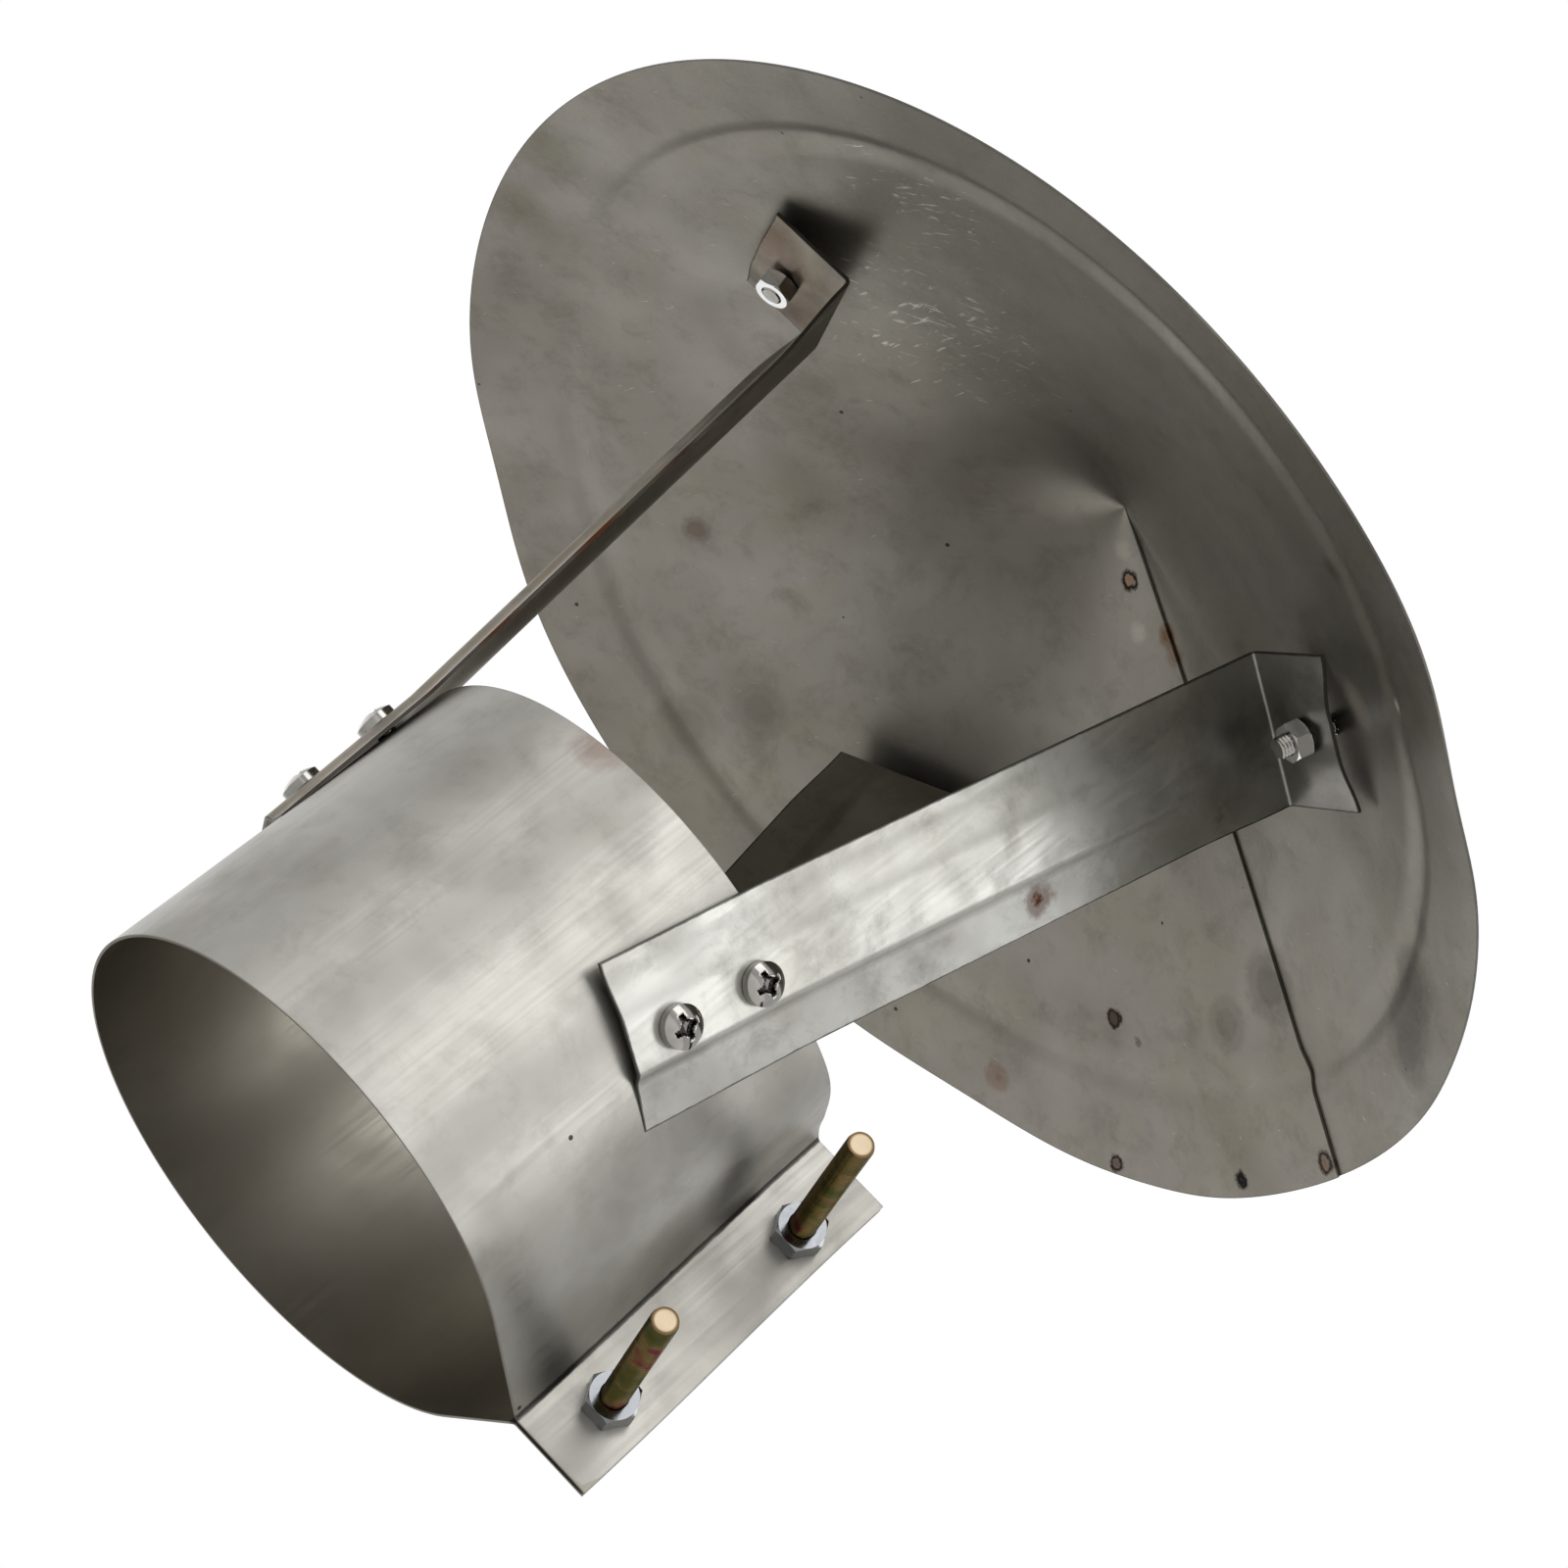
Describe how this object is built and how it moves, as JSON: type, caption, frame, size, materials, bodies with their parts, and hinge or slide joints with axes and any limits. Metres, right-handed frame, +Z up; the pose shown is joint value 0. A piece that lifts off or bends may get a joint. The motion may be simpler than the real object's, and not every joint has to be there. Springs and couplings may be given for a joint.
{
  "type": "chimney rain cap",
  "caption": "Round sheet-steel chimney rain cap: a shallow cone held by ribbed legs over a collar that clamps round a flue pipe with long bolts.",
  "frame": {"origin": "on the collar's axis at its lower rim", "axes": "+Z up along the flue, from the collar to the cap; +X from the collar's axis to the clamp flanges"},
  "size_m": [0.292, 0.292, 0.2617],
  "materials": {
    "stainless_sheet": "mill-finish stainless sheet, smudged, with rust specks at the seam",
    "polished_screw": "bright polished steel",
    "zinc_nut": "bright zinc plating",
    "yellow_zinc": "yellow passivated zinc plating with an iridescent cast"
  },
  "bodies": {
    "cap_and_collar": {"cap": "stainless_sheet", "collar": "stainless_sheet", "leg_left": "stainless_sheet", "leg_front": "stainless_sheet", "leg_rear": "stainless_sheet", "leg_left_screw_low": "polished_screw", "leg_left_screw_high": "polished_screw", "leg_front_screw_low": "polished_screw", "leg_front_screw_high": "polished_screw", "leg_rear_screw_low": "polished_screw", "leg_rear_screw_high": "polished_screw", "leg_left_nut_low": "zinc_nut", "leg_left_nut_high": "zinc_nut", "leg_front_nut_low": "zinc_nut", "leg_front_nut_high": "zinc_nut", "leg_rear_nut_low": "zinc_nut", "leg_rear_nut_high": "zinc_nut", "cap_screw_left": "polished_screw", "cap_screw_front": "polished_screw", "cap_screw_rear": "polished_screw", "cap_nut_left": "zinc_nut", "cap_nut_front": "zinc_nut", "cap_nut_rear": "zinc_nut"},
    "clamp_bolt_low": {"clamp_bolt_low": "yellow_zinc"},
    "clamp_bolt_high": {"clamp_bolt_high": "yellow_zinc"},
    "clamp_nut_low": {"clamp_nut_low": "zinc_nut"},
    "clamp_nut_high": {"clamp_nut_high": "zinc_nut"}
  },
  "joints": [
    {"name": "bolt_low_turn", "type": "hinge", "parent": "cap_and_collar", "child": "clamp_bolt_low", "pos_m": [0.07403, 0, 0.016], "axis": [0, 1, 0], "range_deg": [0, 14400]},
    {"name": "bolt_high_turn", "type": "hinge", "parent": "cap_and_collar", "child": "clamp_bolt_high", "pos_m": [0.07403, 0, 0.07], "axis": [0, 1, 0], "range_deg": [0, 14400]},
    {"name": "nut_low_travel", "type": "slide", "parent": "cap_and_collar", "child": "clamp_nut_low", "axis": [0, -1, 0], "range_m": [0, 0.0401]},
    {"name": "nut_high_travel", "type": "slide", "parent": "cap_and_collar", "child": "clamp_nut_high", "axis": [0, -1, 0], "range_m": [0, 0.0401]}
  ],
  "couplings": [
    {"joint": "nut_low_travel", "follows": "bolt_low_turn", "m_per_rad": 0.00015915},
    {"joint": "nut_high_travel", "follows": "bolt_high_turn", "m_per_rad": 0.00015915}
  ]
}
